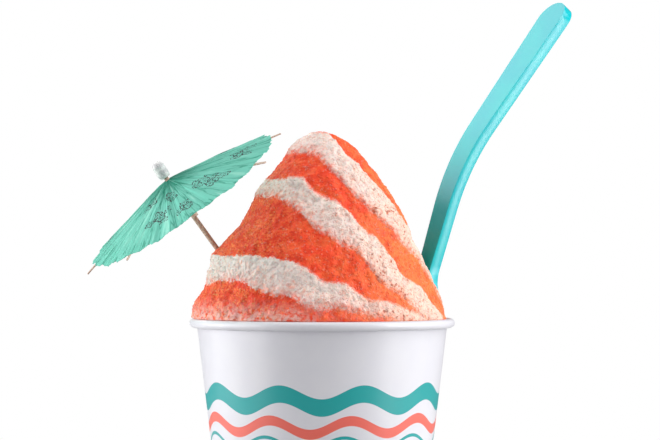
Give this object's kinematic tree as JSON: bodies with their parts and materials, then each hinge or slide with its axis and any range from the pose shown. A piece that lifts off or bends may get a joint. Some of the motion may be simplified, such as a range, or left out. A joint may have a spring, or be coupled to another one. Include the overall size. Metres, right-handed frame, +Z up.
{
  "type": "shaved ice dessert",
  "caption": "Shaved ice dessert in syrup stripes, heaped over a paper cup, with a paper parasol and a plastic spoon stuck in it.",
  "frame": {"origin": "middle of the object's box on the surface it stands on; the cup's axis stands 4.4 mm from it towards -X", "axes": "+Z up, -Y to the front, the parasol towards -X and the spoon towards +X"},
  "size_m": [0.1809, 0.098, 0.2317],
  "materials": {
    "cup_board": "white paper board with a thin satin coating",
    "syrup_ice": "packed shaved ice, wet and grainy, in stripes of cream white and orange syrup",
    "spoon_plastic": "moulded teal plastic, smooth and glossy",
    "parasol_paper": "creased mint tissue paper with thin dark blossom outlines",
    "parasol_wood": "bare split wood",
    "parasol_cap": "white bead",
    "runner_card": "rolled white card"
  },
  "bodies": {
    "root": {"cup_wall": "cup_board", "cup_base": "cup_board", "shaved_ice": "syrup_ice", "spoon": "spoon_plastic", "parasol_paper": "parasol_paper", "parasol_stick": "parasol_wood", "parasol_cap": "parasol_cap", "parasol_runner": "runner_card", "parasol_rib_1": "parasol_wood", "parasol_rib_2": "parasol_wood", "parasol_rib_3": "parasol_wood", "parasol_rib_4": "parasol_wood", "parasol_rib_5": "parasol_wood", "parasol_rib_6": "parasol_wood", "parasol_rib_7": "parasol_wood", "parasol_rib_8": "parasol_wood", "parasol_stretcher_1": "parasol_wood", "parasol_stretcher_2": "parasol_wood", "parasol_stretcher_3": "parasol_wood", "parasol_stretcher_4": "parasol_wood", "parasol_stretcher_5": "parasol_wood", "parasol_stretcher_6": "parasol_wood", "parasol_stretcher_7": "parasol_wood", "parasol_stretcher_8": "parasol_wood"}
  },
  "joints": []
}
